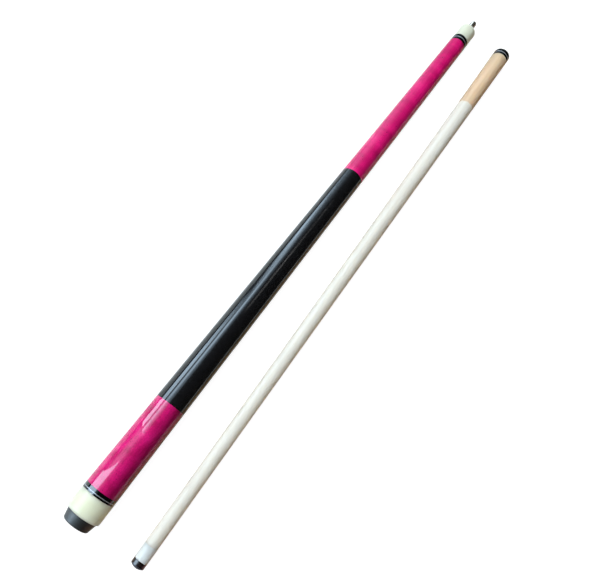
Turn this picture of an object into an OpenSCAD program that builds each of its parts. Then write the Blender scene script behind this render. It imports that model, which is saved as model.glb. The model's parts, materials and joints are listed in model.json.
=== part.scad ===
// Two-piece pool cue, unscrewed, with its butt and its shaft lying side by side.
// Millimetres, +Z up. +X runs from the rubber bumper towards the joint pin.
// The origin is on the surface that the cue lies on, at the middle of its box.
// Each half is turned about its own axis: outlines are [radius, station] pairs,
// with the butt's stations counted from the bumper and the shaft's from the tip.

/* [Butt] */
// Length of the butt, from the bumper's end to the joint face
butt_len = 735.3; // [720:0.1:750]
// Diameter that the butt's straight taper reaches at the bumper's end
butt_dia = 32.6; // [31:0.1:34]
// Diameter of the butt and of the shaft at the joint
joint_dia = 21.6; // [21:0.1:22.4]
// Length of rubber that shows behind the butt cap
bumper_show = 9; // [6:0.1:12]
// Diameter of the bumper's end face, before its edge is rounded
bumper_end_dia = 25; // [20:0.1:26]
// Length of the ivory butt cap
cap_len = 18.9; // [16:0.1:24]
// Radius of the round on the butt cap's rear edge
cap_round = 2; // [1:0.1:3]
// Length of the stained butt sleeve
sleeve_len = 89.3; // [80:0.1:100]
// Length of the linen wrap
wrap_len = 317; // [290:0.1:330]
// Thickness of the linen and its lacquer
wrap_thick = 0.9; // [0.6:0.1:1.5]

/* [Rings] */
// Length of the thin black ring beside the butt cap
cap_thin_len = 1.5; // [1:0.1:3]
// Length of the silver ring beside the butt cap
cap_silver_len = 0.6; // [0.5:0.1:2]
// Length of the wide black ring behind the butt sleeve
cap_wide_len = 3; // [2:0.1:5]
// Length of each black ring in front of the forearm
forearm_black_len = 4.2; // [3:0.1:5]
// Length of the silver ring in front of the forearm
forearm_silver_len = 1.5; // [0.8:0.1:2]
// Length of the black ring next to the shaft's wood
shaft_inner_len = 3.6; // [3:0.1:5]
// Length of the silver ring on the shaft
shaft_silver_len = 1.4; // [0.8:0.1:2]
// Length of the black ring at the shaft's joint face
shaft_outer_len = 4.5; // [3:0.1:6]

/* [Joint] */
// Length of the ivory joint collar
collar_len = 24.5; // [20:0.1:32]
// Radius of the round on the joint collar's front edge
collar_round = 1.4; // [0.5:0.1:2]
// Diameter of the joint pin's thread, 5/16 inch
pin_dia = 7.94; // [7.9:0.01:8]
// Length of joint pin that stands out of the joint face
pin_reach = 20; // [14:0.5:22]
// Radial clearance of the joint pin in the shaft's insert
thread_gap = 0.08; // [0.05:0.01:0.1]
// Radial clearance of a part that turns or slides in the butt
running_gap = 0.06; // [0.04:0.01:0.1]

/* [Shaft] */
// Length of the shaft, from the tip's crown to the joint face
shaft_len = 736.2; // [720:0.1:750]
// Diameter of the shaft at the tip
tip_dia = 13; // [12:0.1:14]
// Height of the leather tip at its crown
tip_height = 6.8; // [5:0.1:8]
// Radius of the tip's crown
tip_crown = 10.6; // [9:0.1:12]
// Length of the ferrule
ferrule_len = 13.7; // [12:0.1:26]
// How far the taper stays slim towards the tip, where 1 is a straight cone
taper_power = 1.3; // [1:0.05:1.8]
// Length of the brass insert
insert_len = 24; // [22:0.5:30]

/* [Layout] */
// Distance between the two axes at the tip and bumper end
tip_spacing = 62.8; // [50:0.1:120]
// Distance between the two axes at the joint end
joint_spacing = 56.3; // [50:0.1:120]

/* [Hidden] */
$fn = 96;

// Colours
ivory = [0.90, 0.91, 0.80];
jet = [0.03, 0.03, 0.035];
silver = [0.72, 0.73, 0.75];
pink = [0.84, 0.08, 0.44];
maple = [0.90, 0.80, 0.66];
steel = [0.66, 0.67, 0.68];
brass = [0.80, 0.62, 0.27];
rubber = [0.08, 0.09, 0.10];
leather = [0.11, 0.08, 0.09];
white_resin = [0.92, 0.97, 0.98];

// Stations along the butt, from the bumper's end to the joint face
cap_at = bumper_show;
cap_thin_at = cap_at + cap_len;
cap_silver_at = cap_thin_at + cap_thin_len;
cap_wide_at = cap_silver_at + cap_silver_len;
sleeve_at = cap_wide_at + cap_wide_len;
wrap_at = sleeve_at + sleeve_len;
forearm_at = wrap_at + wrap_len;
collar_at = butt_len - collar_len;
front_ring_at = collar_at - forearm_black_len;
silver_ring_at = front_ring_at - forearm_silver_len;
rear_ring_at = silver_ring_at - forearm_black_len;

// Stations along the shaft, from the tip's crown to the joint face
ferrule_at = tip_height;
wood_at = ferrule_at + ferrule_len;
outer_ring_at = shaft_len - shaft_outer_len;
shaft_silver_at = outer_ring_at - shaft_silver_len;
inner_ring_at = shaft_silver_at - shaft_inner_len;

// Thickness of the glue line between pieces that don't move on each other
glue = 0.02;
// Steps in a rounded edge, and in the shaft's curved taper
arc_steps = 6;
taper_steps = 14;

// Hidden diameters and depths inside the butt
cap_tenon_r = 10;
sleeve_tenon_r = 12;
front_tenon_r = 7.4;
core_tenon_r = 8.5;
core_tenon_len = 14;
core_rear = 26;
stem_r = 8;
stem_len = 16;
stem_ribs = 3;
stem_rib_r = 0.5;
bolt_r = 6.35;
bolt_at = 84;
bolt_len = 52;
bolt_hex_r = 3.4;
bolt_hex_depth = 8;
bolt_bore_end = 140;
stud_r = 4;
stud_len = 80;
shank_r = 4.6;
shank_len = 36;
pin_r = pin_dia / 2;
pin_pilot = 1.6;
pin_thread_root = 0.86;

// Hidden diameters and depths inside the shaft
ferrule_tenon_r = 4.2;
ferrule_cap = 2;
insert_r = 6.4;
ring_tenon_r = 8.2;

// How each half lies: its taper touches the surface from end to end
butt_tilt = atan((butt_dia - joint_dia) / 2 / butt_len);
shaft_tilt = atan((joint_dia - tip_dia) / 2 / (shaft_len - ferrule_at));
shaft_yaw = asin((tip_spacing - joint_spacing) / shaft_len);
butt_height = butt_dia / 2 * cos(butt_tilt);
shaft_height = tip_dia / 2 * cos(shaft_tilt) - ferrule_at * sin(shaft_tilt);

// Middle of the box around both halves
box_end_x = (butt_len + pin_reach) * cos(butt_tilt) + pin_r * pin_thread_root * sin(butt_tilt);
box_left_y = butt_r(cap_at + cap_round);
box_right_y = -tip_spacing - tip_dia / 2 * cos(shaft_yaw) + ferrule_at * sin(shaft_yaw);
middle_x = box_end_x / 2;
middle_y = (box_left_y + box_right_y) / 2;

// Radius of the butt's straight taper at a station
function butt_r(s) = (butt_dia - (butt_dia - joint_dia) * s / butt_len) / 2;

// Radius of the shaft at a station: slim near the tip, fuller towards the joint
function shaft_r(u) =
    tip_dia / 2 + (joint_dia - tip_dia) / 2
    * pow(max(0, u - ferrule_at) / (shaft_len - ferrule_at), taper_power);

// Points of a quarter round from angle a to angle b about [r, s]
function round_edge(r, s, radius, a, b) =
    [for (i = [0:arc_steps]) let (t = a + (b - a) * i / arc_steps)
        [r + radius * cos(t), s + radius * sin(t)]];

// Place a piece of the butt, modelled along +X from the bumper's end
module on_butt() {
    translate([-middle_x, -middle_y, butt_height]) rotate([0, butt_tilt, 0]) children();
}

// Place a piece of the shaft, modelled along +X from the tip's crown
module on_shaft() {
    translate([-middle_x, -middle_y - tip_spacing, shaft_height])
        rotate([0, 0, shaft_yaw]) rotate([0, -shaft_tilt, 0]) children();
}

// Solid turned about +X from an outline of [radius, station] points
module turned(outline) {
    rotate([0, 90, 0]) rotate_extrude() polygon(outline);
}

// Sleeve that follows the butt's taper between two stations, over a tenon
module butt_band(from, to, tenon_r) {
    turned([[tenon_r + glue, from], [butt_r(from), from], [butt_r(to), to],
            [tenon_r + glue, to]]);
}

// Ring that follows the shaft's taper between two stations, over its tenon
module shaft_band(from, to) {
    turned([[ring_tenon_r + glue, from], [shaft_r(from), from], [shaft_r(to), to],
            [ring_tenon_r + glue, to]]);
}

// Rubber bumper: a tapered button with a ribbed stem that pushes into the butt cap
module bumper() {
    edge = 1.8;
    joint_r = butt_r(cap_at) - cap_round + 0.1;
    rib_step = stem_len / (stem_ribs + 1);
    button = concat(
        [[0, 0]],
        round_edge(bumper_end_dia / 2 - edge, edge, edge, -90, -12),
        [[joint_r, cap_at - 0.1], [joint_r - 0.4, cap_at - 0.02], [0, cap_at - 0.02]]);
    root_r = stem_r - stem_rib_r;
    rib_r = stem_r - running_gap;
    on_butt() color(rubber) {
        turned(button);
        turned([[0, cap_at - 0.1], [root_r, cap_at - 0.1], [root_r, cap_at + stem_len - 1],
                [root_r - 1, cap_at + stem_len], [0, cap_at + stem_len]]);
        for (i = [1:stem_ribs]) let (s = cap_at + i * rib_step)
            turned([[0, s - 1.6], [root_r, s - 1.6], [rib_r, s - 0.6], [rib_r, s], [0, s]]);
    }
}

// Ivory butt cap with a rounded rear edge, bored for the bumper's stem and the core
module butt_cap() {
    outer = butt_r(cap_at + cap_round);
    on_butt() color(ivory)
        turned(concat(
            [[stem_r, cap_at]],
            round_edge(outer - cap_round, cap_at + cap_round, cap_round, -90, 0),
            [[butt_r(cap_thin_at), cap_thin_at], [cap_tenon_r + glue, cap_thin_at],
             [cap_tenon_r + glue, core_rear - glue], [stem_r, core_rear - glue]]));
}

module cap_ring_thin() {
    on_butt() color(jet) butt_band(cap_thin_at, cap_silver_at, cap_tenon_r);
}

module cap_ring_silver() {
    on_butt() color(silver) butt_band(cap_silver_at, cap_wide_at, cap_tenon_r);
}

module cap_ring_wide() {
    on_butt() color(jet) butt_band(cap_wide_at, sleeve_at, cap_tenon_r);
}

// Stained maple sleeve over the core
module butt_sleeve() {
    on_butt() color(pink) butt_band(sleeve_at, wrap_at, sleeve_tenon_r);
}

// Maple core of the handle: tenons for the cap, the sleeve, the wrap and the forearm
module handle_core() {
    under_wrap = wrap_thick + glue;
    tenon_end = forearm_at + core_tenon_len;
    on_butt() color(maple)
        turned([[bolt_r + running_gap, core_rear], [cap_tenon_r, core_rear],
                [cap_tenon_r, sleeve_at], [sleeve_tenon_r, sleeve_at],
                [sleeve_tenon_r, wrap_at], [butt_r(wrap_at) - under_wrap, wrap_at],
                [butt_r(forearm_at) - under_wrap, forearm_at],
                [core_tenon_r, forearm_at], [core_tenon_r, tenon_end],
                [stud_r + glue, tenon_end], [stud_r + glue, forearm_at - stud_len / 2],
                [0, forearm_at - stud_len / 2], [0, bolt_bore_end],
                [bolt_r + running_gap, bolt_bore_end]]);
}

// Steel weight bolt in the core, with a hexagon socket that faces the bumper
module weight_bolt() {
    on_butt() color(steel)
        difference() {
            turned([[0, bolt_at], [bolt_r - 0.8, bolt_at], [bolt_r, bolt_at + 0.8],
                    [bolt_r, bolt_at + bolt_len - 0.8], [bolt_r - 0.8, bolt_at + bolt_len],
                    [0, bolt_at + bolt_len]]);
            translate([bolt_at - 0.1, 0, 0]) rotate([0, 90, 0])
                cylinder(h = bolt_hex_depth, r = bolt_hex_r, $fn = 6);
        }
}

// Lacquered linen wrap, flush with the wood on both sides
module linen_wrap() {
    on_butt() color(jet)
        turned([[butt_r(wrap_at) - wrap_thick, wrap_at], [butt_r(wrap_at), wrap_at],
                [butt_r(forearm_at), forearm_at], [butt_r(forearm_at) - wrap_thick, forearm_at]]);
}

// Threaded stud that draws the forearm onto the core
module a_joint_stud() {
    chamfer = 0.8;
    from = forearm_at - stud_len / 2 + 1;
    to = forearm_at + stud_len / 2 - 1;
    on_butt() color(steel)
        turned([[0, from], [stud_r - chamfer, from], [stud_r, from + chamfer],
                [stud_r, to - chamfer], [stud_r - chamfer, to], [0, to]]);
}

// Stained maple forearm, socketed for the core, with a front tenon through the collar
module forearm() {
    socket_end = forearm_at + core_tenon_len + 1;
    stud_end = forearm_at + stud_len / 2;
    shank_end = butt_len - shank_len - 1;
    on_butt() color(pink)
        turned([[core_tenon_r + glue, forearm_at], [butt_r(forearm_at), forearm_at],
                [butt_r(rear_ring_at), rear_ring_at], [front_tenon_r, rear_ring_at],
                [front_tenon_r, butt_len - 0.3], [shank_r + running_gap, butt_len - 0.3],
                [shank_r + running_gap, shank_end], [0, shank_end],
                [0, stud_end], [stud_r + glue, stud_end], [stud_r + glue, socket_end],
                [core_tenon_r + glue, socket_end]]);
}

module forearm_ring_rear() {
    on_butt() color(jet) butt_band(rear_ring_at, silver_ring_at, front_tenon_r);
}

module forearm_ring_silver() {
    on_butt() color(silver) butt_band(silver_ring_at, front_ring_at, front_tenon_r);
}

module forearm_ring_front() {
    on_butt() color(jet) butt_band(front_ring_at, collar_at, front_tenon_r);
}

// Ivory joint collar with a rounded front edge
module joint_collar() {
    outer = butt_r(butt_len - collar_round);
    on_butt() color(ivory)
        turned(concat(
            [[front_tenon_r + glue, collar_at], [butt_r(collar_at), collar_at]],
            round_edge(outer - collar_round, butt_len - collar_round, collar_round, 0, 90),
            [[front_tenon_r + glue, butt_len]]));
}

// Steel joint pin: a shank in the forearm, a threaded length and a rounded nose
module joint_pin() {
    nose_r = pin_r * pin_thread_root;
    thread_end = butt_len + pin_reach - pin_pilot;
    on_butt() color(steel)
        turned(concat(
            [[0, butt_len - shank_len], [shank_r - 0.8, butt_len - shank_len],
             [shank_r, butt_len - shank_len + 0.8], [shank_r, butt_len - 0.3],
             [pin_r, butt_len - 0.3], [pin_r, thread_end]],
            round_edge(nose_r - pin_pilot, thread_end, pin_pilot, 0, 90),
            [[0, butt_len + pin_reach]]));
}

// Layered leather tip with a burnished side and a rounded crown
module tip() {
    side_r = tip_dia / 2 - 0.08;
    crown_edge = asin(side_r / tip_crown);
    crown = [for (i = [0:arc_steps]) let (t = crown_edge * i / arc_steps)
        [tip_crown * sin(t), tip_crown * (1 - cos(t))]];
    on_shaft() color(leather)
        turned(concat(crown, [[side_r, ferrule_at - glue], [0, ferrule_at - glue]]));
}

// White ferrule, closed under the tip, on the shaft's front tenon
module ferrule() {
    on_shaft() color(white_resin)
        turned([[0, ferrule_at], [shaft_r(ferrule_at), ferrule_at],
                [shaft_r(wood_at), wood_at], [ferrule_tenon_r + glue, wood_at],
                [ferrule_tenon_r + glue, ferrule_at + ferrule_cap], [0, ferrule_at + ferrule_cap]]);
}

// Maple shaft between the ferrule and the joint rings, with a tenon at each end
module shaft_wood() {
    wood_len = inner_ring_at - wood_at;
    insert_end = shaft_len - insert_len - 1;
    taper = [for (i = [0:taper_steps]) let (u = wood_at + wood_len * i / taper_steps)
        [shaft_r(u), u]];
    on_shaft() color(maple)
        turned(concat(
            [[0, ferrule_at + ferrule_cap + 0.3], [ferrule_tenon_r, ferrule_at + ferrule_cap + 0.3],
             [ferrule_tenon_r, wood_at]],
            taper,
            [[ring_tenon_r, inner_ring_at], [ring_tenon_r, shaft_len - 0.3],
             [insert_r + glue, shaft_len - 0.3], [insert_r + glue, insert_end], [0, insert_end]]));
}

// Brass insert that takes the joint pin, with a countersunk mouth
module shaft_insert() {
    bore_r = pin_r + thread_gap;
    mouth = 0.6;
    on_shaft() color(brass)
        turned([[bore_r, shaft_len - insert_len], [insert_r, shaft_len - insert_len],
                [insert_r, shaft_len - 0.1], [bore_r + mouth, shaft_len - 0.1],
                [bore_r, shaft_len - 0.1 - mouth]]);
}

module shaft_ring_inner() {
    on_shaft() color(jet) shaft_band(inner_ring_at, shaft_silver_at);
}

module shaft_ring_silver() {
    on_shaft() color(silver) shaft_band(shaft_silver_at, outer_ring_at);
}

module shaft_ring_outer() {
    on_shaft() color(jet) shaft_band(outer_ring_at, shaft_len);
}

bumper();
butt_cap();
cap_ring_thin();
cap_ring_silver();
cap_ring_wide();
butt_sleeve();
handle_core();
weight_bolt();
linen_wrap();
a_joint_stud();
forearm();
forearm_ring_rear();
forearm_ring_silver();
forearm_ring_front();
joint_collar();
joint_pin();
tip();
ferrule();
shaft_wood();
shaft_insert();
shaft_ring_inner();
shaft_ring_silver();
shaft_ring_outer();
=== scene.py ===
"""Looks of the two-piece pool cue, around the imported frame: turned pieces, finishes, stage and camera."""
import json
import math

import bpy
import numpy as np
from mathutils import Matrix, Vector


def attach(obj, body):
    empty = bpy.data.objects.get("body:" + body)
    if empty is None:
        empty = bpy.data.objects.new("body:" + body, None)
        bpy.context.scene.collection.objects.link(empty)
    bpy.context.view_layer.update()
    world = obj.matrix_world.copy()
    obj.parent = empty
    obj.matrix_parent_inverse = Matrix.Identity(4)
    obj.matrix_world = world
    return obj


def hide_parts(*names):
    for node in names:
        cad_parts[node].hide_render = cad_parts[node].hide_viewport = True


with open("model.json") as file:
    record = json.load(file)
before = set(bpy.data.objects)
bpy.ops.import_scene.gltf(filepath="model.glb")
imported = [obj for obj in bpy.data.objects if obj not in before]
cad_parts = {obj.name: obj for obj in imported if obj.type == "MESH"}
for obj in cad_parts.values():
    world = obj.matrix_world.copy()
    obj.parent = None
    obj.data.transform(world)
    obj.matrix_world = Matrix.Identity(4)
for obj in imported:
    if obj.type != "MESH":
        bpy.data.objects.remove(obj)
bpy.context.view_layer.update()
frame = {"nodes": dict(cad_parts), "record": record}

MM = 0.001
TURN = 2 * math.pi

# Outer radii of the halves in millimetres, and how the shaft's taper curves
BUTT_END_R = 16.3
JOINT_R = 10.8
TIP_R = 6.5
TAPER_POWER = 1.3
# The joint pin in millimetres: how far it stands out of the collar, its crests and its 5/16-18 thread
PIN_REACH = 20.0
PIN_R = 3.97
PIN_PITCH = 25.4 / 18
# Radii at which the rings and the ends sit on their tenons
CAP_TENON_R = 10.02
FRONT_TENON_R = 7.42
SHAFT_TENON_R = 8.22
# Where the shaft's clear-coated length starts, in millimetres from its tip
COAT_AT = 626.2

# Fineness of the meshes: segments around a turned piece and around a helix, rows in a turn of thread,
# and steps in a rounded edge
SEGMENTS = 144
HELIX_SEGMENTS = 72
THREAD_ROWS = 16
ARC_STEPS = 10
# Outlines in millimetres: how far a crisp corner is eased, how near a corner the points stand that hold its
# shading, and the longest run between points
CRISP_EDGE = 0.05
HOLD = 0.03
LONGEST_RUN = 24.0


# ---------------------------------------------------------------- placing

def half_placement(start_mount, end_mount):
    """Matrix that carries a half's own axis, +X from its start, into the row frame."""
    mounts = {m["name"]: m for m in frame["record"]["mounts"]}
    origin = Vector(mounts[start_mount]["pos_m"])
    along = Vector(mounts[end_mount]["axis"]).normalized()
    side = Vector((0, 0, 1)).cross(along).normalized()
    up = along.cross(side)
    placed = Matrix((along, side, up)).transposed().to_4x4()
    placed.translation = origin
    return placed


BUTT = half_placement("bumper_end", "joint_pin")
SHAFT = half_placement("tip_crown", "shaft_bore")


def span(node, placed):
    """The first and last station of a CAD node along its half's axis, in millimetres."""
    into = placed.inverted()
    along = [(into @ v.co).x / MM for v in frame["nodes"][node].data.vertices]
    return min(along), max(along)


CAP_AT, CAP_THIN_AT = span("butt_cap", BUTT)
SLEEVE_AT, WRAP_AT = span("butt_sleeve", BUTT)
FOREARM_AT = span("linen_wrap", BUTT)[1]
REAR_RING_AT = span("forearm_ring_rear", BUTT)[0]
COLLAR_AT, BUTT_LEN = span("joint_collar", BUTT)
FERRULE_AT, WOOD_AT = span("ferrule", SHAFT)
INNER_RING_AT = span("shaft_ring_inner", SHAFT)[0]
SHAFT_LEN = span("shaft_ring_outer", SHAFT)[1]


def butt_r(s):
    return BUTT_END_R - (BUTT_END_R - JOINT_R) * s / BUTT_LEN


def shaft_r(u):
    share = max(0.0, u - FERRULE_AT) / (SHAFT_LEN - FERRULE_AT)
    return TIP_R + (JOINT_R - TIP_R) * share ** TAPER_POWER


# ---------------------------------------------------------------- meshes

def rounded(points, edge, closed, steps=3):
    """The outline with each corner eased by a small arc. Points on the axis and open ends stay."""
    longest_cut, straight = 0.4, 0.98
    out, n = [], len(points)
    for i, p in enumerate(points):
        p = np.array(p, float)
        if not closed and i in (0, n - 1) or p[0] == 0:
            out.append(p)
            continue
        before, after = np.array(points[i - 1], float), np.array(points[(i + 1) % n], float)
        a, b = before - p, after - p
        la, lb = np.linalg.norm(a), np.linalg.norm(b)
        if abs(np.dot(a, b) / (la * lb)) > straight:
            out.append(p)
            continue
        cut = min(edge, longest_cut * la, longest_cut * lb)
        start, end = p + a / la * cut, p + b / lb * cut
        for k in range(steps + 1):
            t = k / steps
            out.append((1 - t) ** 2 * start + 2 * t * (1 - t) * p + t * t * end)
    return out


def held(points, closed):
    """The outline with more points, beside its corners and along its runs, which keep its shading true."""
    out, n = [], len(points)
    for i in range(n if closed else n - 1):
        p, q = np.array(points[i]), np.array(points[(i + 1) % n])
        length = np.linalg.norm(q - p)
        out.append(p)
        if length > 4 * HOLD:
            count = int(length // LONGEST_RUN)
            stops = [HOLD / length] + [(k + 1) / (count + 1) for k in range(count)] + [1 - HOLD / length]
            out += [p + (q - p) * t for t in stops]
    if not closed:
        out.append(np.array(points[-1]))
    return out


def mesh_object(name, vertices, faces, material, placed, body):
    """A piece whose vertices are put in the row frame. Its own coordinates stay in the attribute "place",
    +X along the half, so that grain and figure follow the piece."""
    mesh = bpy.data.meshes.new(name)
    mesh.from_pydata(vertices, [], faces)
    own = mesh.attributes.new("place", "FLOAT_VECTOR", "POINT")
    own.data.foreach_set("vector", np.array(vertices, np.float32).ravel())
    mesh.transform(placed)
    mesh.shade_smooth()
    mesh.materials.append(material)
    obj = bpy.data.objects.new(name, mesh)
    bpy.context.scene.collection.objects.link(obj)
    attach(obj, body)
    return obj


def grid_faces(rows, columns, wrap_rows):
    """Quads between rows of vertices. Each row closes on itself, and the last row can join the first."""
    faces = []
    for i in range(rows if wrap_rows else rows - 1):
        a, b = i * columns, (i + 1) % rows * columns
        faces += [(a + j, b + j, b + (j + 1) % columns, a + (j + 1) % columns) for j in range(columns)]
    return faces


def lathe(name, outline, material, placed, body):
    """A piece turned from an outline of (radius, station) points in millimetres.
    An outline that starts on the axis also ends there, and any other is a closed ring."""
    on_axis = outline[0][0] == 0
    inner = outline[1:-1] if on_axis else outline
    turns = np.arange(SEGMENTS) * TURN / SEGMENTS
    circle = list(zip(np.cos(turns), np.sin(turns)))
    vertices = [(s * MM, r * y * MM, r * z * MM) for r, s in inner for y, z in circle]
    faces = grid_faces(len(inner), SEGMENTS, not on_axis)
    if on_axis:
        first, last = len(vertices), len(vertices) + 1
        vertices += [(outline[0][1] * MM, 0, 0), (outline[-1][1] * MM, 0, 0)]
        base = (len(inner) - 1) * SEGMENTS
        faces += [(first, j, (j + 1) % SEGMENTS) for j in range(SEGMENTS)]
        faces += [(last, base + (j + 1) % SEGMENTS, base + j) for j in range(SEGMENTS)]
    return mesh_object(name, vertices, faces, material, placed, body)


def turned(name, node, outline, material, placed, body, edge=CRISP_EDGE):
    """A turned piece with eased corners that stands for one CAD node."""
    closed = outline[0][0] != 0
    obj = lathe(name, held(rounded(outline, edge, closed), closed), material, placed, body)
    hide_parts(node)


def helix_sleeve(name, stations, pitch, radius_of, material, placed, body, ends):
    """A skin whose radius depends on the station and on the share of a helix's turn.
    The (radius, station) points in ends close it."""
    turns = np.arange(HELIX_SEGMENTS) / HELIX_SEGMENTS
    points = [(radius_of(s, (s / pitch - t) % 1.0), s, t) for s in stations for t in turns]
    points += [(r, s, t) for r, s in ends for t in turns]
    vertices = [(s * MM, r * math.cos(t * TURN) * MM, r * math.sin(t * TURN) * MM) for r, s, t in points]
    faces = grid_faces(len(stations) + len(ends), HELIX_SEGMENTS, True)
    return mesh_object(name, vertices, faces, material, placed, body)


def evenly(start, end, count):
    """Stations from start to end in count equal steps."""
    return [start + (end - start) * i / count for i in range(count + 1)]


def round_edge(r, s, radius, start, end):
    """Points of an arc about (r, s), from the start angle to the end angle in degrees."""
    angles = [math.radians(start + (end - start) * i / ARC_STEPS) for i in range(ARC_STEPS + 1)]
    return [(r + radius * math.cos(t), s + radius * math.sin(t)) for t in angles]


def band(radius_at, start, end, bore_r):
    """Outline of a ring or sleeve whose outside follows its half's taper."""
    return [(bore_r, start), (radius_at(start), start), (radius_at(end), end), (bore_r, end)]


# ---------------------------------------------------------------- materials

class Finish:
    """A node material with short calls for the few nodes that the finishes use."""

    def __init__(self, name, own_place=True, **values):
        self.material = bpy.data.materials.new(name)
        self.material.use_nodes = True
        self.tree = self.material.node_tree
        self.shader = self.tree.nodes["Principled BSDF"]
        if own_place:
            attribute = self.tree.nodes.new("ShaderNodeAttribute")
            attribute.attribute_name = "place"
            self.place = attribute.outputs["Vector"]
        else:
            self.place = self.tree.nodes.new("ShaderNodeTexCoord").outputs["Object"]
        for socket, value in values.items():
            self.shader.inputs[socket.replace("_", " ")].default_value = value

    def scaled(self, scale, offset=(0, 0, 0)):
        node = self.tree.nodes.new("ShaderNodeMapping")
        node.inputs["Scale"].default_value = scale
        node.inputs["Location"].default_value = offset
        self.tree.links.new(self.place, node.inputs["Vector"])
        return node.outputs["Vector"]

    def noise(self, scale, detail=2.0, rough=0.5, distortion=0.0, offset=(0, 0, 0)):
        node = self.tree.nodes.new("ShaderNodeTexNoise")
        node.inputs["Scale"].default_value = 1.0
        node.inputs["Detail"].default_value = detail
        node.inputs["Roughness"].default_value = rough
        node.inputs["Distortion"].default_value = distortion
        self.tree.links.new(self.scaled(scale, offset), node.inputs["Vector"])
        return node.outputs["Fac"]

    def ramp(self, source, *stops):
        """stops are (position, value or colour)."""
        node = self.tree.nodes.new("ShaderNodeValToRGB")
        ramp = node.color_ramp
        while len(ramp.elements) < len(stops):
            ramp.elements.new(0.5)
        for element, (position, value) in zip(ramp.elements, stops):
            element.position = position
            element.color = (value, value, value, 1) if isinstance(value, (int, float)) else (*value, 1)
        self.tree.links.new(source, node.inputs["Fac"])
        return node.outputs["Color"]

    def feed(self, socket, value):
        """Links a node's output into a socket, or gives the socket a number or a colour."""
        if isinstance(value, bpy.types.NodeSocket):
            self.tree.links.new(value, socket)
        elif isinstance(value, (int, float)):
            socket.default_value = value
        else:
            socket.default_value = (*value, 1)

    def mix(self, a, b, factor, kind="MIX"):
        node = self.tree.nodes.new("ShaderNodeMix")
        node.data_type = "RGBA"
        node.blend_type = kind
        # The node's sockets for colours are its inputs 6 and 7 and its output 2
        for index, value in ((6, a), (7, b), (0, factor)):
            self.feed(node.inputs[index], value)
        return node.outputs[2]

    def multiplied(self, a, b):
        return self.mix(a, b, 1.0, "MULTIPLY")

    def math(self, kind, a, b=0.0, c=0.0):
        node = self.tree.nodes.new("ShaderNodeMath")
        node.operation = kind
        for socket, value in zip(node.inputs, (a, b, c)):
            self.feed(socket, value)
        return node.outputs[0]

    def coordinate(self, axis):
        """The place's coordinate on an axis, in metres: X is the station along the half."""
        node = self.tree.nodes.new("ShaderNodeSeparateXYZ")
        self.tree.links.new(self.place, node.inputs[0])
        return node.outputs[axis]

    def set(self, socket, value):
        self.feed(self.shader.inputs[socket], value)

    def bump(self, height, depth, coat=False):
        node = self.tree.nodes.new("ShaderNodeBump")
        node.inputs["Strength"].default_value = 1.0
        node.inputs["Distance"].default_value = depth
        self.tree.links.new(height, node.inputs["Height"])
        self.tree.links.new(node.outputs[0], self.shader.inputs["Coat Normal" if coat else "Normal"])


def rubber():
    f = Finish("rubber", Roughness=0.5, Specular_IOR_Level=0.75)
    grain = f.noise((900, 900, 900), 3.0)
    f.set("Base Color", f.ramp(grain, (0.3, (0.011, 0.0108, 0.010)), (0.7, (0.0185, 0.018, 0.0165))))
    f.set("Roughness", f.ramp(f.noise((220, 220, 220)), (0.3, 0.46), (0.7, 0.58)))
    f.bump(grain, 0.00002)
    return f.material


def ivory():
    f = Finish("ivory_resin", Roughness=0.35, Specular_IOR_Level=0.1, Coat_Weight=0.25, Coat_Roughness=0.08,
               Subsurface_Weight=0.9, Subsurface_Scale=0.012, Subsurface_Radius=(1.0, 1.0, 1.0))
    cloud = f.noise((60, 160, 160), 3.0, 0.6)
    f.set("Base Color", f.ramp(cloud, (0.3, (0.775, 0.775, 0.585)), (0.7, (0.81, 0.81, 0.62))))
    return f.material


def jet():
    f = Finish("black_resin", Roughness=0.12, Specular_IOR_Level=0.2, Coat_Weight=1.0, Coat_Roughness=0.03)
    cloud = f.noise((400, 400, 400))
    f.set("Base Color", f.ramp(cloud, (0.3, (0.0015, 0.0015, 0.0018)), (0.7, (0.0035, 0.0033, 0.0035))))
    f.set("Roughness", f.ramp(f.noise((700, 90, 90)), (0.3, 0.08), (0.7, 0.2)))
    return f.material


def silver():
    f = Finish("silver_ring", Metallic=0.55, Roughness=0.42)
    turning = f.noise((4000, 60, 60), 2.0)
    f.set("Base Color", f.ramp(turning, (0.3, (0.33, 0.335, 0.35)), (0.7, (0.42, 0.425, 0.44))))
    f.set("Roughness", f.ramp(turning, (0.3, 0.38), (0.7, 0.46)))
    return f.material


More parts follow.
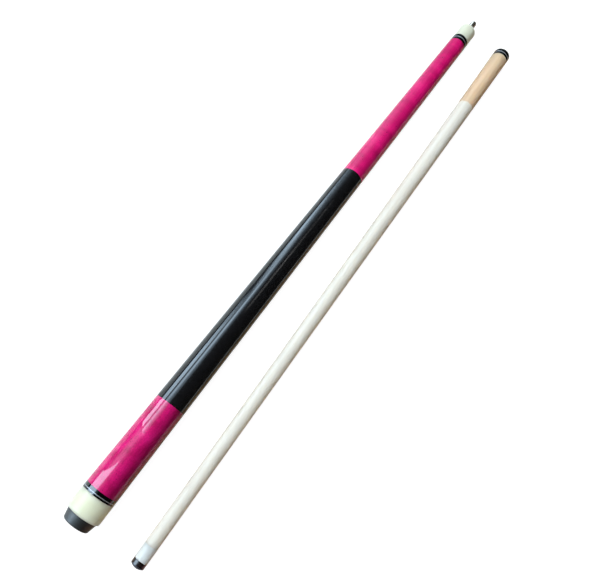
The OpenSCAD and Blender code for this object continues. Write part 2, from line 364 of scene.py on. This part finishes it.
def pink_maple(name, seed, figure_size, mottle_depth, painted_shade_depth, tones):
    """Stained figured maple: cross bands of figure, fibres, a fine mottling and a few dark flecks.
    Its colour is painted darker on the piece's -Y side, away from the key sheet: painted shade."""
    f = Finish(name, Roughness=0.5, Specular_IOR_Level=0.1, Coat_Weight=1.0, Coat_Roughness=0.01)
    shift = (seed, seed * 0.7, seed * 1.3)
    figure = f.noise(figure_size, 2.5, 0.55, 0.4, shift)
    figured = f.ramp(figure, *zip((0.32, 0.50, 0.68), tones))
    # Painted shade: the colour darkens towards the piece's -Y side, away from the key sheet.
    painted_shade_across = f.math("MULTIPLY_ADD", f.coordinate("Y"), 0.5 / (BUTT_END_R * MM), 0.5)
    figured_and_painted_shade = f.multiplied(figured, f.ramp(painted_shade_across, (0.21, painted_shade_depth), (0.44, 1.0)))
    fibres = f.noise((22, 900, 900), 3.0, 0.6, 0.2, shift)
    fibred = f.multiplied(figured_and_painted_shade, f.ramp(fibres, (0.25, 0.92), (0.75, 1.08)))
    mottle = f.noise((700, 820, 820), 2.0, 0.6, 0.0, shift)
    mottled = f.multiplied(fibred, f.ramp(mottle, (0.3, 1 - mottle_depth), (0.7, 1 + mottle_depth)))
    fleck = f.ramp(f.noise((300, 620, 620), 1.0, 0.4, 0.0, shift), (0.745, 0.0), (0.775, 0.75))
    f.set("Base Color", f.mix(mottled, (0.07, 0.002, 0.02), fleck))
    f.bump(f.noise((30, 260, 260), 2.0), 0.000006, coat=True)
    return f.material


def shaft_maple():
    """Pale sealed maple, and a warmer clear-coated length beside the joint."""
    f = Finish("maple", Roughness=0.42, Specular_IOR_Level=0.2, Coat_Roughness=0.05, Subsurface_Weight=0.8,
               Subsurface_Scale=0.009, Subsurface_Radius=(1.0, 1.0, 1.0))
    grain = f.noise((3.2, 210, 210), 3.0, 0.55, 0.25)
    fibres = f.noise((26, 1400, 1400), 2.0, 0.6)
    waver, steepness = 0.004, 700.0
    edge = f.math("MULTIPLY_ADD", f.noise((120, 500, 500)), waver, COAT_AT * MM - waver / 2)
    inside = f.math("SUBTRACT", f.coordinate("X"), edge)
    coated = f.ramp(f.math("MULTIPLY_ADD", inside, steepness, 0.5), (0.0, 0.0), (1.0, 1.0))
    bands = (0.32, 0.55, 0.75)
    pale = f.ramp(grain, *zip(bands, ((0.765, 0.71, 0.635), (0.80, 0.755, 0.69), (0.81, 0.775, 0.72))))
    warm = f.ramp(grain, *zip(bands, ((0.765, 0.54, 0.36), (0.80, 0.575, 0.385), (0.82, 0.60, 0.41))))
    wood = f.mix(pale, warm, coated)
    fibred = f.multiplied(wood, f.ramp(fibres, (0.25, 0.95), (0.75, 1.04)))
    pore = f.ramp(f.noise((130, 2300, 2300), 1.0), (0.70, 0.0), (0.78, 0.35))
    f.set("Base Color", f.mix(fibred, (0.42, 0.30, 0.17), pore))
    f.set("Coat Weight", coated)
    f.set("Roughness", f.ramp(fibres, (0.3, 0.34), (0.7, 0.46)))
    f.bump(fibres, 0.000012)
    return f.material


def core_maple():
    f = Finish("core_maple", own_place=False, Roughness=0.55)
    grain = f.noise((4, 260, 260), 3.0, 0.6, 0.3)
    f.set("Base Color", f.ramp(grain, (0.3, (0.62, 0.46, 0.29)), (0.7, (0.76, 0.62, 0.44))))
    f.bump(f.noise((20, 900, 900), 2.0), 0.00003)
    return f.material


def linen():
    f = Finish("linen", Roughness=0.5, Specular_IOR_Level=0.05, Coat_Weight=1.0, Coat_Roughness=0.015)
    twist = f.noise((2600, 900, 900), 2.0, 0.6)
    f.set("Base Color", f.ramp(twist, (0.3, (0.0045, 0.0042, 0.0048)), (0.7, (0.0095, 0.0090, 0.0095))))
    f.bump(twist, 0.00003)
    return f.material


def steel(name, dark, bright, rough, own_place=True, metallic=1.0):
    f = Finish(name, own_place, Metallic=metallic, Roughness=rough)
    turning = f.noise((5200, 300, 300), 2.0)
    f.set("Base Color", f.ramp(turning, (0.3, dark), (0.7, bright)))
    f.set("Roughness", f.ramp(turning, (0.3, rough * 0.7), (0.7, rough * 1.4)))
    f.bump(turning, 0.000004)
    return f.material


def leather():
    """Pressed leather: layer lines around a burnished side, and a rougher crown."""
    f = Finish("leather", Roughness=0.3, Specular_IOR_Level=0.65)
    layers = f.noise((2600, 40, 40), 1.0, 0.4)
    grain = f.noise((1500, 1500, 1500), 3.0, 0.6)
    crown_len, steepness = 0.003, 900.0
    before_end = f.math("MULTIPLY_ADD", f.coordinate("X"), -steepness, steepness * crown_len)
    crown = f.ramp(before_end, (0.0, 0.0), (1.0, 1.0))
    side = f.ramp(layers, (0.35, (0.010, 0.006, 0.006)), (0.65, (0.024, 0.014, 0.014)))
    face = f.ramp(grain, (0.3, (0.018, 0.022, 0.034)), (0.7, (0.05, 0.06, 0.085)))
    f.set("Base Color", f.mix(side, face, crown))
    f.set("Roughness", f.mix((0.24, 0.24, 0.24), (0.75, 0.75, 0.75), crown))
    f.bump(f.mix(layers, grain, crown), 0.00003)
    return f.material


def white_resin():
    f = Finish("white_resin", Roughness=0.35, Specular_IOR_Level=0.1, Coat_Weight=0.15, Coat_Roughness=0.08,
               Subsurface_Weight=0.9, Subsurface_Scale=0.008, Subsurface_Radius=(1.0, 1.0, 1.0))
    cloud = f.noise((90, 260, 260), 2.0)
    f.set("Base Color", f.ramp(cloud, (0.3, (0.79, 0.83, 0.845)), (0.7, (0.83, 0.865, 0.875))))
    return f.material


# ---------------------------------------------------------------- butt pieces

def make_bumper(material):
    """The moulded rubber button and its ribbed stem. Its end face has a dimple and a shallow ring groove."""
    inset, chamfer, gap, end_r, edge = 1.9, 0.4, 0.02, 12.5, 1.8
    front_r = butt_r(CAP_AT) - inset
    dimple_r, dimple_depth, dimple_slope = 3.2, 0.5, 0.4
    groove_start, groove_end, groove_depth, groove_slope = 7.5, 8.3, 0.45, 0.3
    stem_r, rib_r, rib_len, rib_flat, stem_end = 7.5, 7.94, 1.6, 0.6, CAP_AT + 16
    outline = [(0, dimple_depth), (dimple_r, dimple_depth), (dimple_r + dimple_slope, 0),
               (groove_start - groove_slope, 0), (groove_start, groove_depth), (groove_end, groove_depth),
               (groove_end + groove_slope, 0)]
    outline += round_edge(end_r - edge, edge, edge, -90, -12)
    outline += [(front_r, CAP_AT - 0.1), (front_r - chamfer, CAP_AT - gap), (stem_r, CAP_AT - gap)]
    for at in (CAP_AT + 4, CAP_AT + 8, CAP_AT + 12):
        outline += [(stem_r, at - rib_len), (rib_r, at - rib_flat), (rib_r, at), (stem_r, at)]
    outline += [(stem_r, stem_end - 1), (stem_r - 1, stem_end), (0, stem_end)]
    turned("rubber_bumper", "bumper", outline, material, BUTT, "bumper", edge=0.1)


def make_butt_cap(material):
    """The butt cap, with its rounded rear edge, a hole for the bumper's stem and a spigot for the rings."""
    edge, hole_r, spigot_end = 2, 8.0, 25.98
    outline = [(hole_r, CAP_AT)]
    outline += round_edge(butt_r(CAP_AT + edge) - edge, CAP_AT + edge, edge, -90, 0)
    outline += [(butt_r(CAP_THIN_AT), CAP_THIN_AT), (CAP_TENON_R, CAP_THIN_AT), (CAP_TENON_R, spigot_end),
                (hole_r, spigot_end)]
    turned("ivory_butt_cap", "butt_cap", outline, material, BUTT, "butt", edge=0.06)


def make_rings(black, bright):
    """The three rings beside the butt cap, the three before the joint collar and the three on the shaft."""
    groups = ((BUTT, "butt", butt_r, CAP_TENON_R, (("cap_thin_ring", "cap_ring_thin", black),
                                                   ("cap_silver_ring", "cap_ring_silver", bright),
                                                   ("cap_wide_ring", "cap_ring_wide", black))),
              (BUTT, "butt", butt_r, FRONT_TENON_R, (("rear_joint_ring", "forearm_ring_rear", black),
                                                     ("silver_joint_ring", "forearm_ring_silver", bright),
                                                     ("front_joint_ring", "forearm_ring_front", black))),
              (SHAFT, "shaft", shaft_r, SHAFT_TENON_R, (("inner_shaft_ring", "shaft_ring_inner", black),
                                                        ("silver_shaft_ring", "shaft_ring_silver", bright),
                                                        ("outer_shaft_ring", "shaft_ring_outer", black))))
    for half, body, radius_at, tenon_r, rings in groups:
        for name, node, finish in rings:
            turned(name, node, band(radius_at, *span(node, half), tenon_r), finish, half, body)


def make_sleeve(material):
    bore_r = 12.02
    turned("stained_sleeve", "butt_sleeve", band(butt_r, SLEEVE_AT, WRAP_AT, bore_r), material, BUTT, "butt")


def make_forearm(material):
    """The forearm, with its socket for the core and its stud hole, and its front tenon bored for the pin."""
    socket_r, stud_r, shank_r, tenon_r = 8.52, 4.02, 4.66, 7.4
    socket_end, stud_end = FOREARM_AT + 15, FOREARM_AT + 40
    shank_end, tenon_end = BUTT_LEN - 37, BUTT_LEN - 0.3
    outline = [(0, shank_end), (shank_r, shank_end), (shank_r, tenon_end), (tenon_r, tenon_end),
               (tenon_r, REAR_RING_AT), (butt_r(REAR_RING_AT), REAR_RING_AT),
               (butt_r(FOREARM_AT), FOREARM_AT), (socket_r, FOREARM_AT), (socket_r, socket_end),
               (stud_r, socket_end), (stud_r, stud_end), (0, stud_end)]
    turned("stained_forearm", "forearm", outline, material, BUTT, "butt")


def make_collar(material):
    edge = 1.4
    edge_at = BUTT_LEN - edge
    outline = [(FRONT_TENON_R, COLLAR_AT), (butt_r(COLLAR_AT), COLLAR_AT)]
    outline += round_edge(butt_r(edge_at) - edge, edge_at, edge, 0, 90)
    outline += [(FRONT_TENON_R, BUTT_LEN)]
    turned("ivory_collar", "joint_collar", outline, material, BUTT, "butt", edge=0.06)


def make_wrap(material):
    """About 320 turns of thread as one fine helix under its lacquer."""
    pitch, ridge, ease, wall, turn_rows = 1.0, 0.045, 1.2, 0.9, 7

    def radius_of(s, phase):
        fade = max(0.0, min(1.0, (s - WRAP_AT) / ease, (FOREARM_AT - s) / ease))
        crest = math.sqrt(max(0.0, 1 - (2 * phase - 1) ** 2)) ** 0.7
        return butt_r(s) - ridge * fade * (1 - crest)

    stations = evenly(WRAP_AT, FOREARM_AT, int((FOREARM_AT - WRAP_AT) / pitch * turn_rows))
    ends = [(butt_r(FOREARM_AT) - wall, FOREARM_AT), (butt_r(WRAP_AT) - wall, WRAP_AT)]
    wrap = helix_sleeve("linen_thread", stations, pitch, radius_of, material, BUTT, "butt", ends)
    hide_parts("linen_wrap")


def make_pin(material):
    """The joint pin: a plain shank inside the butt and a right-hand 5/16-18 thread with a rounded nose."""
    depth, crest, lead_in, lead_out = 0.75, 0.16, 0.6, 1.2
    nose, nose_taper, taper_len = 1.6, 0.14, 1.5
    shank_r, chamfer, axis_r = 4.6, 0.8, 0.01
    start, end, shank_at = BUTT_LEN - 0.3, BUTT_LEN + PIN_REACH, BUTT_LEN - 36
    nose_at = end - nose

    def radius_of(s, phase):
        wave = min(1.0, max(0.0, (abs(2 * phase - 1) - crest) / (1 - 2 * crest)))
        fade = min(1.0, max(0.0, (nose_at - s) / lead_out), max(0.0, (s - start) / lead_in))
        return PIN_R - depth * wave * fade - (1 - min(1.0, (nose_at - s) / taper_len)) * nose_taper * PIN_R

    stations = evenly(start, nose_at, int((nose_at - start) / PIN_PITCH * THREAD_ROWS))
    ends = round_edge(PIN_R * (1 - nose_taper) - nose, nose_at, nose, 8, 90) + [(axis_r, end)]
    ends += [(axis_r, shank_at), (shank_r - chamfer, shank_at), (shank_r, shank_at + chamfer),
             (shank_r, start - 0.02)]
    pin = helix_sleeve("threaded_pin", stations, PIN_PITCH, radius_of, material, BUTT, "joint_pin", ends)
    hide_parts("joint_pin")


# ---------------------------------------------------------------- shaft pieces

def make_tip(material):
    """The leather tip, with its domed crown."""
    crown_r, side_r, steps, foot = 10.6, TIP_R - 0.08, 14, FERRULE_AT - 0.02
    reach = math.asin(side_r / crown_r)
    angles = [reach * i / steps for i in range(steps + 1)]
    outline = [(crown_r * math.sin(t), crown_r * (1 - math.cos(t))) for t in angles]
    outline += [(side_r, foot), (0, foot)]
    turned("leather_tip", "tip", outline, material, SHAFT, "shaft", edge=0.35)


def make_ferrule(material):
    tenon_r, tenon_end = 4.22, FERRULE_AT + 2
    outline = [(0, FERRULE_AT), (shaft_r(FERRULE_AT), FERRULE_AT), (shaft_r(WOOD_AT), WOOD_AT),
               (tenon_r, WOOD_AT), (tenon_r, tenon_end), (0, tenon_end)]
    turned("white_ferrule", "ferrule", outline, material, SHAFT, "shaft")


def make_shaft_wood(material):
    """The shaft's curved taper, with a tenon at each end and the insert's hole."""
    steps, front_tenon_r, rear_tenon_r, hole_r = 48, 4.2, 8.2, 6.42
    tenon_start, hole_end, tenon_end = FERRULE_AT + 2.3, SHAFT_LEN - 25, SHAFT_LEN - 0.3
    outline = [(0, tenon_start), (front_tenon_r, tenon_start), (front_tenon_r, WOOD_AT)]
    outline += [(shaft_r(u), u) for u in np.linspace(WOOD_AT, INNER_RING_AT, steps)]
    outline += [(rear_tenon_r, INNER_RING_AT), (rear_tenon_r, tenon_end), (hole_r, tenon_end),
                (hole_r, hole_end), (0, hole_end)]
    turned("maple_shaft", "shaft_wood", outline, material, SHAFT, "shaft")


def make_insert(material):
    """The brass insert: its bore is threaded, with the crests at the running clearance."""
    bore_r, outer_r, depth, flank, mouth, chamfer, lead = 4.05, 6.4, 0.6, 0.8, 0.6, 0.1, 0.7
    face = SHAFT_LEN - 0.1
    start, end = SHAFT_LEN - 24, face - mouth

    def radius_of(s, phase):
        wave = max(0.0, 1 - abs(2 * phase - 1) / flank)
        fade = min(1.0, max(0.0, (end - s) / lead), max(0.0, (s - start) / lead))
        return bore_r + depth * wave * fade

    stations = evenly(end, start, int((end - start) / PIN_PITCH * THREAD_ROWS))
    ends = [(bore_r, start), (outer_r, start), (outer_r, face - chamfer), (outer_r - chamfer, face),
            (bore_r + mouth, face)]
    insert = helix_sleeve("threaded_insert", stations, PIN_PITCH, radius_of, material, SHAFT, "shaft", ends)
    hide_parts("shaft_insert")


def finish_hidden_nodes():
    """The core, weight bolt and stud inside the butt keep their CAD shape."""
    hidden = {"handle_core": core_maple(),
              "weight_bolt": steel("bolt_steel", (0.34, 0.34, 0.35), (0.5, 0.5, 0.51), 0.4, own_place=False)}
    hidden["a_joint_stud"] = hidden["weight_bolt"]
    for node, material in hidden.items():
        mesh = frame["nodes"][node].data
        mesh.materials.clear()
        mesh.materials.append(material)


# ---------------------------------------------------------------- stage

def plane(name, corners, material):
    mesh = bpy.data.meshes.new(name)
    mesh.from_pydata(corners, [], [tuple(range(len(corners)))])
    mesh.materials.append(material)
    obj = bpy.data.objects.new(name, mesh)
    bpy.context.scene.collection.objects.link(obj)
    return obj


def flat_material(name, colour, glow=(0, 0, 0), strength=0.0):
    f = Finish(name, Roughness=1.0, Specular_IOR_Level=0.0)
    f.set("Base Color", colour)
    f.set("Emission Color", glow)
    f.set("Emission Strength", strength)
    return f.material


def level(x0, x1, y0, y1, z):
    """Corners of a level rectangle."""
    return [(x0, y0, z), (x1, y0, z), (x1, y1, z), (x0, y1, z)]


def toned_card(name, *stops):
    """Matt material whose tone follows X in metres."""
    f = Finish(name, own_place=False, Roughness=1.0, Specular_IOR_Level=0.0)
    f.set("Base Color", f.ramp(f.coordinate("X"), *stops))
    return f.material


def make_room():
    """The pale floor and the backdrop walls that the camera sees. Nothing mirrors them."""
    reach = 12
    floor = plane("floor", level(-reach, reach, -reach, reach, 0),
                  flat_material("floor_white", (0.2, 0.2, 0.2), (1, 1, 1), 0.96))
    floor.visible_diffuse = floor.visible_glossy = floor.visible_shadow = False
    white = flat_material("backdrop_white", (0, 0, 0), (1, 1, 1), 1.0)
    for name, (x0, y0), (x1, y1) in (("backdrop_left", (-reach, reach), (reach, reach)),
                                     ("backdrop_right", (-reach, -reach), (reach, -reach)),
                                     ("backdrop_rear", (-reach, -reach), (-reach, reach)),
                                     ("backdrop_front", (reach, -reach), (reach, reach))):
        wall = plane(name, [(x0, y0, 0), (x1, y1, 0), (x1, y1, reach), (x0, y0, reach)], white)
        wall.visible_diffuse = wall.visible_glossy = wall.visible_shadow = wall.visible_transmission = False


def make_cards():
    """Cards just under the floor. Each lights the cue's lower flanks, is mirrored in them, or does both."""
    reach, bounce_z, mirror_z = 3.0, -0.0005, -0.0003
    # The cards' edges in Y: between the halves, under the shaft and beside it
    between, under_shaft, beside = -0.0265, -0.032, -0.090
    pale = flat_material("bounce_pale", (0.85, 0.86, 0.86))
    fading = toned_card("bounce_fading", (0.12, 0.9), (0.45, 0.2))
    # The brown of the near and far cards is the floor's own tone, and both darken towards +X. The near card,
    # between the halves and under the shaft, is darker than the far one: painted shade between the halves.
    near = toned_card("bounce_near_painted_shade", (0.0, (0.54, 0.325, 0.165)), (0.25, (0.35, 0.205, 0.10)))
    far = toned_card("bounce_far", (0.0, (0.58, 0.355, 0.185)), (0.25, (0.43, 0.25, 0.12)))
    # The pink card mirrored beside the sleeve is painted bounce light: it stands for the pink glow that the
    # sleeve casts on the floor beside it.
    painted_bounce_card = flat_material("painted_pink_bounce", (0.80, 0.36, 0.38))
    for name, corners, material in (
            ("mirrored_left", level(-reach, reach, 0, reach, mirror_z), fading),
            ("mirrored_right", level(-0.6, -0.255, -0.38, -0.058, mirror_z), painted_bounce_card)):
        mirror = plane(name, corners, material)
        mirror.visible_camera = mirror.visible_diffuse = mirror.visible_shadow = False
    for name, y0, y1, material, mirrored in (("bounce_left", 0, reach, pale, False),
                                             ("bounce_between", between, 0, near, True),
                                             ("bounce_gap", under_shaft, between, near, False),
                                             ("bounce_beside", beside, under_shaft, far, True),
                                             ("bounce_right", -reach, beside, far, False)):
        card = plane(name, level(-reach, reach, y0, y1, bounce_z), material)
        card.visible_camera = False
        card.visible_glossy = mirrored


def glow_by_height(name, stops):
    """Emission that follows the height above the floor: stops are (height in metres, radiance)."""
    top, brightest, tint = stops[-1][0], 12.0, (0.76, 1.0, 1.22)
    tints = [(height / top, tuple(c * radiance / brightest for c in tint)) for height, radiance in stops]
    f = Finish(name, own_place=False, Roughness=1.0, Specular_IOR_Level=0.0)
    f.set("Base Color", (0, 0, 0))
    f.set("Emission Color", f.ramp(f.math("DIVIDE", f.coordinate("Z"), top), *tints))
    f.set("Emission Strength", brightest)
    return f.material


# The wall of windows that the gloss mirrors beyond the butt, in metres. An upright, between two panes, has
# its x at their low end and at their high end. A pane has (height, radiance) stops.
WINDOW_Y = 1.2
UPRIGHTS = ((-1.7, -1.7), (-0.44, -0.49), (-0.27, -0.31), (0.16, 0.16), (0.48, 0.48), (0.76, 1.13),
            (1.35, 1.35), (1.65, 1.65), (3.8, 3.8))
DIMMING_TOP = ((2.1, 5), (2.6, 3.2), (3.1, 2.2), (4, 1.7), (6.5, 1.1))
PANES = (
    ("window_rear", ((0.29, 8), (0.82, 8), (2.38, 7.5), (2.43, 0.7), (6.5, 0.2))),
    ("window_pier", ((0.5, 0), (0.9, 1.3), (2.38, 1.6), (2.43, 0.5), (6.5, 0.2))),
    ("window_bay", ((0.29, 8.6), (0.86, 9.6), (0.92, 0.5), (1.22, 0.5), (1.34, 6.5), (1.8, 7.5),
                    *DIMMING_TOP)),
    ("window_mid", ((0.45, 0.2), (0.6, 1.0), (0.75, 1.5), (1.0, 1.4), (1.18, 1.8), (1.34, 8.8), (1.8, 9.6),
                    *DIMMING_TOP)),
    ("window_front", ((0.1, 0), (0.28, 0), (0.29, 4.5), (0.4, 7.5), (0.55, 9.5), (0.82, 8.5), (0.98, 5.8),
                      (1.25, 6.8), (1.7, 6.2), (2.1, 3.4), (2.6, 1.9), (4, 1.1), (6.5, 0.7))),
    ("window_side", ((0.1, 0.6), (0.3, 1.3), (0.5, 1.0), (0.82, 0.8), (1.0, 1.5), (1.3, 1.4), (1.7, 0.8),
                     (2.6, 0.7), (4, 0.4), (6.5, 0.3))),
    ("window_far", ((0.1, 0.5), (0.4, 0.6), (0.82, 0.5), (1.4, 0.4), (1.8, 0.6), (2.6, 0.5), (6.5, 0.2))),
    ("window_end", ((0.1, 0.22), (1.2, 0.15), (1.8, 0.4), (2.3, 0.25), (6.5, 0.05))))


def make_windows():
    """The windows with their pier, and a small lamp. Only the gloss shows them, and the key sheet does
    their lighting."""
    for (name, stops), left, right in zip(PANES, UPRIGHTS, UPRIGHTS[1:]):
        low, high = stops[0][0], stops[-1][0]
        corners = [(left[0], WINDOW_Y, low), (right[0], WINDOW_Y, low), (right[1], WINDOW_Y, high),
                   (left[1], WINDOW_Y, high)]
        pane = plane(name, corners, glow_by_height(name + "_glow", stops))
        pane.visible_camera = pane.visible_diffuse = False
    lamp = plane("lamp", level(0.79, 0.93, -0.4, 0.07, 2.2),
                 flat_material("lamp_glow", (0, 0, 0), (1, 1, 1), 5.0))
    lamp.visible_camera = lamp.visible_diffuse = False


def make_lights():
    """A broad cool key sheet high on the butt's side and a wide warm fill above the shaft's side.
    They light, and no finish mirrors them."""
    key = [(-2.2, 0.35, 2.0), (2.2, 0.35, 2.0), (2.2, 1.6, 1.25), (-2.2, 1.6, 1.25)]
    fill = [(-1.2, -2.0, 1.2), (2.4, -2.0, 1.2), (2.4, 0.0, 2.2), (-1.2, 0.0, 2.2)]
    for name, corners, colour, strength in (("key_sheet", key, (0.88, 1.0, 1.05), 4.15),
                                            ("warm_fill", fill, (1.0, 0.74, 0.54), 0.16)):
        sheet = plane(name, corners, flat_material(name + "_glow", (0, 0, 0), colour, strength))
        sheet.visible_camera = sheet.visible_glossy = False


def make_world():
    world = bpy.data.worlds.new("studio")
    bpy.context.scene.world = world
    world.use_nodes = True
    background = world.node_tree.nodes["Background"]
    background.inputs["Color"].default_value = (1.0, 0.96, 0.93, 1)
    background.inputs["Strength"].default_value = 0.07
    world.cycles_visibility.glossy = False


def make_camera():
    """The camera stands over the near ends and looks along the halves, steeply down."""
    right = Vector((0.56702, -0.79795, 0.20438))
    down = Vector((-0.74547, -0.60266, -0.28475))
    ahead = Vector((0.35039, 0.0091, -0.93656))
    data = bpy.data.cameras.new("camera")
    data.sensor_width, data.lens = 36.0, 31.08
    data.clip_start = 0.01
    camera = bpy.data.objects.new("camera", data)
    bpy.context.scene.collection.objects.link(camera)
    placed = Matrix((right, -down, -ahead)).transposed().to_4x4()
    placed.translation = Vector((-0.27578, -0.00817, 0.51635))
    camera.matrix_world = placed
    bpy.context.scene.camera = camera
    bpy.context.scene.view_settings.view_transform = "Standard"


def build():
    black, bright, tusk = jet(), silver(), ivory()
    make_bumper(rubber())
    make_butt_cap(tusk)
    make_rings(black, bright)
    # The number before each pink maple's tones sets how dark its painted shade gets on the piece's -Y side.
    make_sleeve(pink_maple("pink_maple_sleeve", 3.1, (60, 70, 70), 0.16, 0.48,
                           ((0.45, 0.0012, 0.092), (0.60, 0.0030, 0.138), (0.72, 0.0080, 0.185))))
    make_wrap(linen())
    make_forearm(pink_maple("pink_maple_forearm", 7.7, (55, 22, 22), 0.08, 0.8,
                            ((0.52, 0.0018, 0.108), (0.64, 0.0035, 0.138), (0.77, 0.0080, 0.182))))
    make_collar(tusk)
    make_pin(steel("pin_steel", (0.36, 0.32, 0.27), (0.46, 0.41, 0.35), 0.13, metallic=0.8))
    make_tip(leather())
    make_ferrule(white_resin())
    make_shaft_wood(shaft_maple())
    make_insert(steel("brass", (0.68, 0.48, 0.19), (0.82, 0.62, 0.28), 0.28))
    finish_hidden_nodes()
    make_room()
    make_cards()
    make_windows()
    make_lights()
    make_world()
    make_camera()


build()
